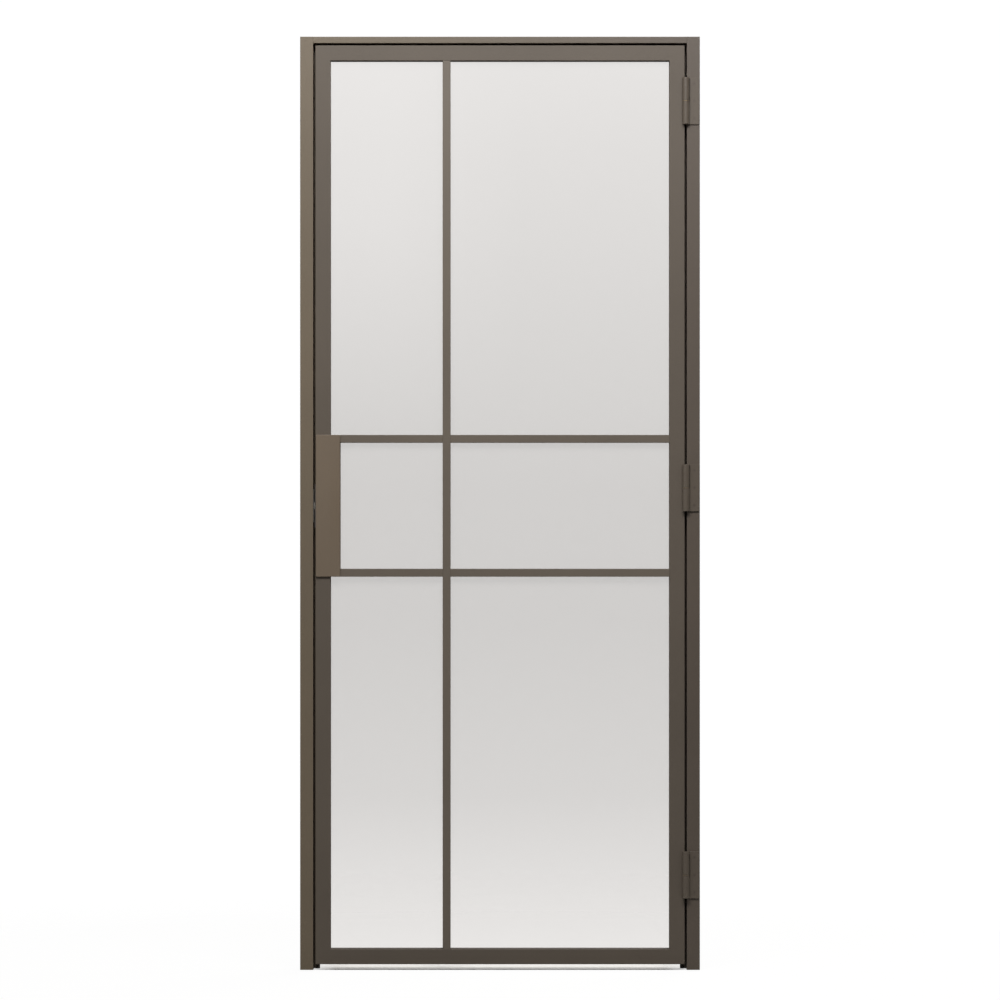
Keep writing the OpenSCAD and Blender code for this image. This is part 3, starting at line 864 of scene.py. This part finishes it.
class Bench:
    """Makes each finish once, puts it on pieces and stands smoother pieces in for nodes."""

    def __init__(self) -> None:
        """Starts with no finish made."""
        self._made: dict[str, bpy.types.Material] = {}

    def material(self, finish: Finish) -> bpy.types.Material:
        """The material of a finish, made on first use.

        Args:
            finish: The finish.

        Returns:
            Its material.
        """
        if finish.name not in self._made:
            self._made[finish.name] = finish.value.material(finish.name + "_finish")
        return self._made[finish.name]

    def dress_node(self, node: str, finish: Finish) -> None:
        """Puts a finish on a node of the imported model.

        Args:
            node: The node's name.
            finish: Its finish.
        """
        for slot in frame["nodes"][node].material_slots:
            slot.material = self.material(finish)
        LOG.info("%s: %s", node, finish.name)

    def ease(self, node: str, finish: Finish, width: float, pick: Pick = Pick.LONG) -> None:
        """Shows a node with its edges rounded.

        Args:
            node: The node's name.
            finish: Its finish.
            width: How far the rounding reaches from an edge, in metres.
            pick: Which edges are rounded.
        """
        self.stand_in(f"{node}_eased", eased(node, width, pick), finish, node)

    def stand_in(
        self, name: str, shape: bmesh.types.BMesh, finish: Finish, node: str
    ) -> bpy.types.Object:
        """Shows a smoother piece in a node's stead.

        Args:
            name: The piece's name.
            shape: Its shape, in place.
            finish: Its finish.
            node: The node it stands for.

        Returns:
            The piece.
        """
        piece = self._object(name, shape)
        mesh = piece.data
        mesh.polygons.foreach_set("use_smooth", [True] * len(mesh.polygons))
        mesh.set_sharp_from_angle(angle=CREASE)
        normals = piece.modifiers.new("even_normals", "WEIGHTED_NORMAL")
        normals.keep_sharp = True
        mesh.materials.append(self.material(finish))
        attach(piece, frame["nodes"][node]["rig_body"])
        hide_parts(node)
        LOG.info("%s for %s: %s", name, node, finish.name)
        return piece

    @staticmethod
    def _object(name: str, shape: bmesh.types.BMesh) -> bpy.types.Object:
        """Turns a shape into an object.

        Args:
            name: The object's name.
            shape: The shape, which is used up.

        Returns:
            The object, in the scene.
        """
        mesh = bpy.data.meshes.new(name)
        shape.to_mesh(mesh)
        shape.free()
        made = bpy.data.objects.new(name, mesh)
        bpy.context.scene.collection.objects.link(made)
        return made


def merged(shapes: Iterable[bmesh.types.BMesh]) -> bmesh.types.BMesh:
    """Joins shapes that lie apart.

    Args:
        shapes: The shapes, which are used up.

    Returns:
        One shape that holds them all.
    """
    whole = bmesh.new()
    for shape in shapes:
        mesh = bpy.data.meshes.new("part")
        shape.to_mesh(mesh)
        shape.free()
        whole.from_mesh(mesh)
        bpy.data.meshes.remove(mesh)
    return whole


# ---- Sub-assemblies ----


@dataclass
class FrameBody:
    """Jambs, head, seals and strike.

    Attributes:
        bench: Where finishes and pieces are made.
        plate_edge: Rounding of the strike's edges.
        flange: Thickness of a fixing cap's flange.
        cap_outline: Radius and height of a fixing cap's outline, from its face.
    """

    bench: Bench
    plate_edge: float = 0.2 * MM
    flange: float = 1.0 * MM
    cap_outline: tuple[tuple[float, float], ...] = (
        (0.0, 0.0010),
        (0.0026, 0.00096),
        (0.0045, 0.00085),
        (0.0058, 0.00066),
        (0.0065, 0.00042),
        (0.0068, 0.00015),
        (0.0068, 0.0),
        (0.0054, 0.0),
        (0.0054, -0.0032),
        (0.0051, -0.0040),
        (0.0042, -0.0040),
        (0.0042, -0.0006),
        (0.0, -0.0006),
    )

    def build(self) -> None:
        """Dresses the frame's nodes."""
        for node in ("hinge_jamb", "lock_jamb", "frame_head", "frame_hinge_screws"):
            self.bench.dress_node(node, Finish.frame_paint)
        for node in ("hinge_jamb_seal", "lock_jamb_seal", "head_seal"):
            self.bench.dress_node(node, Finish.rubber)
        self.bench.ease("strike_plate", Finish.stainless, self.plate_edge)
        self._caps()
        self.bench.dress_node("frame_corner_blocks", Finish.aluminium)
        for node in ("frame_corner_screws", "strike_screws", "frame_hinge_backings"):
            self.bench.dress_node(node, Finish.zinc_steel)

    def _caps(self) -> None:
        """Domed caps with hollow backs over the fixing holes."""
        caps = []
        for low, high in loose_boxes("fixing_caps"):
            middle = (low + high) / 2
            side = -1.0 if middle.x < 0 else 1.0
            seat = (high.x if side < 0 else low.x) + side * self.flange
            cap = lathe(self.cap_outline)
            turn = Matrix.Rotation(-side * math.pi / 2, 4, "Y")
            spot = Matrix.Translation((seat, middle.y, middle.z))
            bmesh.ops.transform(cap, matrix=spot @ turn, verts=cap.verts)
            caps.append(cap)
        self.bench.stand_in("fixing_caps_moulded", merged(caps), Finish.cap_plastic, "fixing_caps")


@dataclass
class HingeSet:
    """Three barrel hinges.

    Attributes:
        bench: Where finishes and pieces are made.
        edge: Rounding of the halves' edges.
        washer_edge: Rounding of the washers' edges.
    """

    bench: Bench
    edge: float = 0.4 * MM
    washer_edge: float = 0.15 * MM

    def build(self) -> None:
        """Dresses the hinges' nodes."""
        for level in ("lower", "middle", "upper"):
            for half in ("frame", "leaf"):
                self.bench.ease(f"{level}_hinge_{half}_half", Finish.hinge_paint, self.edge)
        self.bench.ease("hinge_washers", Finish.brass, self.washer_edge, Pick.ALL)
        for node in ("hinge_pins", "leaf_hinge_screws", "leaf_hinge_backings"):
            self.bench.dress_node(node, Finish.zinc_steel)


@dataclass
class Leaf:
    """Stiles, rails, glazing bars and what joins them.

    Attributes:
        bench: Where finishes and pieces are made.
        bars: Level and side of each cross bar.
    """

    bench: Bench
    bars: tuple[tuple[str, str], ...] = (
        ("lower", "lock"),
        ("lower", "hinge"),
        ("upper", "lock"),
        ("upper", "hinge"),
    )

    def build(self) -> None:
        """Dresses the leaf's profiles."""
        for node in ("hinge_stile", "lock_stile", "top_rail", "bottom_rail"):
            self.bench.dress_node(node, Finish.leaf_paint)
        bars = [f"{level}_cross_bar_{side}_side" for level, side in self.bars]
        for node in ("upright_bar", *bars):
            self.bench.dress_node(node, Finish.bar_paint)
        for node in ("leaf_corner_cleats", "bar_spigots"):
            self.bench.dress_node(node, Finish.aluminium)
        self.bench.dress_node("bar_spigot_screws", Finish.zinc_steel)


@dataclass
class Glazing:
    """Panes, gaskets and beads.

    Attributes:
        bench: Where finishes and pieces are made.
    """

    bench: Bench

    def build(self) -> None:
        """Dresses the panes and what holds them."""
        for width in ("small", "large"):
            for level in ("bottom", "middle", "top"):
                self.bench.dress_node(f"{level}_{width}_pane", Finish.glass)
                self.bench.dress_node(f"{level}_{width}_beads", Finish.leaf_paint)
            self.bench.dress_node(f"{width}_pane_gaskets", Finish.rubber)


@dataclass
class PullPlates:
    """Flat pull plates on both faces of the lock stile.

    Attributes:
        bench: Where finishes and pieces are made.
        edge: Rounding of the plates' ends.
    """

    bench: Bench
    edge: float = 1.0 * MM

    def build(self) -> None:
        """Dresses the plates and their screws."""
        for node in ("front_pull_plate", "back_pull_plate"):
            self.bench.ease(node, Finish.plate_paint, self.edge, Pick.ENDS)
        for node in ("pull_plate_screws", "pull_plate_sleeves"):
            self.bench.dress_node(node, Finish.zinc_steel)


@dataclass
class RollerCatch:
    """Sprung roller catch in the lock stile.

    Attributes:
        bench: Where finishes and pieces are made.
        edge: Rounding of the case's and carriage's edges.
        crown: How much the roller's middle stands over its shoulders.
        shoulder: Rounding of the roller's shoulders.
        bore: Radius of the roller's bore.
        chamfer: Width of the chamfer at the bore.
        ring: Outer and inner radius of the ring sunk in each end of the roller.
        ring_depth: How deep that ring is sunk.
        arc_steps: Steps along the roller's crown and round its shoulder.
        coil: Radius of the spring's centre line.
        wire: Radius of its wire.
        turns: Its turns.
        turn_steps: Steps along each of them.
        travel: How far the carriage goes in; not used.
    """

    bench: Bench
    edge: float = 0.2 * MM
    crown: float = 0.12 * MM
    shoulder: float = 0.9 * MM
    bore: float = 2.05 * MM
    chamfer: float = 0.3 * MM
    ring: tuple[float, float] = (5.2 * MM, 3.2 * MM)
    ring_depth: float = 0.4 * MM
    arc_steps: int = 6
    coil: float = 4.0 * MM
    wire: float = 0.6 * MM
    turns: int = 4
    turn_steps: int = 40
    travel: float = 3.0 * MM

    def build(self) -> None:
        """Dresses the catch and makes its roller and spring."""
        self.bench.ease("catch_case", Finish.stainless, self.edge)
        self.bench.ease("catch_carriage", Finish.zinc_steel, self.edge)
        for node in ("catch_roller_axle", "catch_screws"):
            self.bench.dress_node(node, Finish.zinc_steel)
        self._roller()
        self._spring()

    def _roller(self) -> None:
        """A crowned roller with rounded shoulders and a ring sunk in each end."""
        low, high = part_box("catch_roller")
        middle, half = (low + high) / 2, (high.z - low.z) / 2
        radius = (high.x - low.x) / 2
        count = self.arc_steps
        rise = [step / count for step in range(-count, count + 1)]
        side = [(radius - self.crown * t**2, (half - self.shoulder) * t) for t in rise]
        turned = [math.pi / 2 * step / count for step in range(1, count + 1)]
        edge = radius - self.crown - self.shoulder
        over = [
            (edge + self.shoulder * math.cos(a), half - self.shoulder * (1 - math.sin(a)))
            for a in turned
        ]
        outer, inner = self.ring
        sunk, slope = half - self.ring_depth, self.ring_depth / 2
        top = [
            *over,
            (outer, half),
            (outer - slope, sunk),
            (inner + slope, sunk),
            (inner, half),
            (self.bore + self.chamfer, half),
            (self.bore, half - self.chamfer),
        ]
        roller = lathe(side + top + [(r, -h) for r, h in reversed(top)], 96)
        bmesh.ops.transform(roller, matrix=Matrix.Translation(middle), verts=roller.verts)
        self.bench.stand_in("catch_roller_crowned", roller, Finish.roller_nylon, "catch_roller")

    def _spring(self) -> None:
        """A coil spring in the place of the catch's spring."""
        low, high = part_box("catch_spring")
        middle = (low + high) / 2
        steps = self.turn_steps * self.turns
        length = high.x - low.x - 2 * self.wire
        path = []
        for step in range(steps + 1):
            angle = 2 * math.pi * self.turns * step / steps
            x = low.x + self.wire + length * step / steps
            y = middle.y + self.coil * math.cos(angle)
            z = middle.z + self.coil * math.sin(angle)
            path.append(Vector((x, y, z)))
        spring = self.bench.stand_in(
            "catch_spring_coiled", tube(path, self.wire), Finish.zinc_steel, "catch_spring"
        )
        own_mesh(spring)


# ---- Studio ----


@dataclass(frozen=True)
class SoftBox:
    """A rectangular lamp.

    Attributes:
        name: Its name.
        place: Its middle.
        target: What it faces.
        size: Width and height.
        power: Watts.
        mirrored: Whether glass and glossy paint show it.
    """

    name: str
    place: Point
    target: Point
    size: tuple[float, float]
    power: float
    mirrored: bool = True

    def build(self) -> None:
        """Makes the lamp."""
        light = bpy.data.lights.new(self.name, "AREA")
        light.shape = "RECTANGLE"
        light.size, light.size_y = self.size
        light.energy = self.power
        lamp = bpy.data.objects.new(self.name, light)
        lamp.location = self.place
        lamp.visible_glossy = self.mirrored
        direction = Vector(self.target) - Vector(self.place)
        lamp.rotation_euler = direction.to_track_quat("-Z", "Y").to_euler()
        bpy.context.scene.collection.objects.link(lamp)


@dataclass
class Studio:
    """Pale floor, white surround, soft lamps and the camera.

    Attributes:
        sky: Height of the surround's dark and pale end, and how bright each lights the door.
        sky_seen: How bright the surround itself looks.
        floor_radius: Radius of the floor.
        floor_rim: Shares of that radius between which the floor fades out.
        floor_drop: How far it lies under the door's foot.
        floor_bounce: Its colour as it lights the door.
        floor_lit: Its colour where it shows its own light and shadow.
        floor_glow: How much it shines plain white elsewhere.
        shade_side: Distances from the middle between which its own light fades out sideways.
        shade_front: Places between which its own light comes in under the leaf.
        shade_back: Places between which its own light fades out behind the leaf.
        front_plane: The leaf's front face.
        eye_height: Height of the camera, which is half the view's height.
        eye_distance: How far it stands before the front face.
        view_width: Width of the view at the front face.
        sensor: Width of the camera's sensor in millimetres.
        lamps: The lamps.
    """

    sky: tuple[tuple[float, float], ...] = ((0.35, 0.05), (1.0, 0.34))
    sky_seen: float = 1.02
    floor_radius: float = 3.2
    floor_rim: tuple[float, float] = (0.45, 0.98)
    floor_drop: float = 0.4 * MM
    floor_bounce: Colour = (0.30, 0.30, 0.29)
    floor_lit: Colour = (1.11, 1.09, 1.05)
    floor_glow: float = 0.95
    shade_side: tuple[float, float] = (0.38, 0.46)
    shade_front: tuple[float, float] = (-0.030, -0.020)
    shade_back: tuple[float, float] = (0.06, 0.45)
    front_plane: float = -0.030
    eye_height: float = 1.0816
    eye_distance: float = 12.0
    view_width: float = 2.3016
    sensor: float = 36.0
    lamps: tuple[SoftBox, ...] = (
        SoftBox("key_lamp", (0.0, -2.43, 3.3), (0.0, 0.0, 1.2), (2.4, 1.0), 84.0),
        SoftBox("fill_lamp", (-3.4, -3.6, 1.9), (0.0, 0.0, 1.3), (1.6, 2.2), 12.0),
        SoftBox("back_lamp", (1.6, 3.2, 3.0), (0.0, 0.0, 1.0), (2.2, 1.6), 70.0),
        SoftBox("side_lamp", (3.4, 0.9, 2.0), (0.46, 0.0, 1.1), (1.0, 2.0), 26.0, False),
    )

    def build(self) -> None:
        """Makes the whole studio."""
        self._surround()
        self._floor()
        for lamp in self.lamps:
            lamp.build()
        self._camera()
        view = bpy.context.scene.view_settings
        view.view_transform = "Standard"
        view.look = "None"

    def _surround(self) -> None:
        """A white surround that lights the door only softly, and most from above."""
        world = bpy.data.worlds.new("surround")
        bpy.context.scene.world = world
        shader = Shader(world)
        way = shader.node("ShaderNodeTexCoord", output="Generated")
        height = shader.span(shader.along("Z", way), -1.0, 1.0, 0.0, 1.0)
        stops = [(up, (level, level, level * 1.01)) for up, level in self.sky]
        light = shader.node("ShaderNodeValToRGB", {"stops": stops}, {0: height})
        lit = shader.node("ShaderNodeBackground", {}, {"Color": light})
        plain = {"Color": WHITE, "Strength": self.sky_seen}
        seen = shader.node("ShaderNodeBackground", {}, plain)
        camera_ray = shader.node("ShaderNodeLightPath", output="Is Camera Ray")
        shader.finish(shader.mixed(camera_ray, lit, seen), "ShaderNodeOutputWorld")

    def _floor(self) -> None:
        """A pale round floor that fades out at its rim."""
        shape = bmesh.new()
        bmesh.ops.create_circle(
            shape,
            cap_ends=True,
            segments=96,
            radius=self.floor_radius,
            matrix=Matrix.Translation((0.0, 0.0, -self.floor_drop)),
        )
        mesh = bpy.data.meshes.new("studio_floor")
        shape.to_mesh(mesh)
        shape.free()
        floor = bpy.data.objects.new("studio_floor", mesh)
        bpy.context.scene.collection.objects.link(floor)
        mesh.materials.append(self._floor_finish())

    def _floor_finish(self) -> Owner:
        """A floor that looks white, but for the shadow that the leaf throws under itself.

        Returns:
            The material.
        """
        shader = Shader(bpy.data.materials.new("studio_floor_finish"))
        reach = shader.node(
            "ShaderNodeVectorMath", {"operation": "LENGTH"}, {0: shader.place}, "Value"
        )
        near, far = (self.floor_radius * share for share in self.floor_rim)
        camera_ray = shader.node("ShaderNodeLightPath", output="Is Camera Ray")
        pale = shader.blend(camera_ray, self.floor_bounce, self.floor_lit)
        lit = shader.node("ShaderNodeBsdfDiffuse", {}, {"Color": pale})
        glow = shader.node("ShaderNodeEmission", {}, {"Color": WHITE, "Strength": 1.0})
        white = camera_ray * (1.0 - self._under_leaf(shader)) * self.floor_glow
        clear = shader.node("ShaderNodeBsdfTransparent")
        rim = shader.span(reach, near, far, 0.0, 1.0)
        return shader.finish(shader.mixed(rim, shader.mixed(white, lit, glow), clear))

    def _under_leaf(self, shader: Shader) -> Wire:
        """Where the floor shows its own light and shadow.

        Args:
            shader: The floor's nodes.

        Returns:
            1 between the jambs and just behind the leaf, and 0 away from there.
        """
        aside = shader.node("ShaderNodeMath", {"operation": "ABSOLUTE"}, {0: shader.along("X")})
        back = shader.along("Y")
        between = shader.span(aside, *self.shade_side, 1.0, 0.0)
        behind = shader.span(back, *self.shade_back, 1.0, 0.0)
        return between * behind * shader.span(back, *self.shade_front, 0.0, 1.0)

    def _camera(self) -> None:
        """A long lens, level and square to the door."""
        lens = bpy.data.cameras.new("camera")
        lens.sensor_width = self.sensor
        lens.lens = self.sensor * self.eye_distance / self.view_width
        lens.clip_start, lens.clip_end = 0.1, 100.0
        camera = bpy.data.objects.new("camera", lens)
        camera.location = (0.0, self.front_plane - self.eye_distance, self.eye_height)
        camera.rotation_euler = (math.pi / 2, 0.0, 0.0)
        bpy.context.scene.collection.objects.link(camera)
        bpy.context.scene.camera = camera


def main() -> None:
    """Builds the classes in order."""
    logging.basicConfig(level=logging.INFO, format="%(message)s")
    bench = Bench()
    for part in (FrameBody, HingeSet, Leaf, Glazing, PullPlates, RollerCatch):
        part(bench).build()
    Studio().build()


if __name__ == "__main__":
    main()
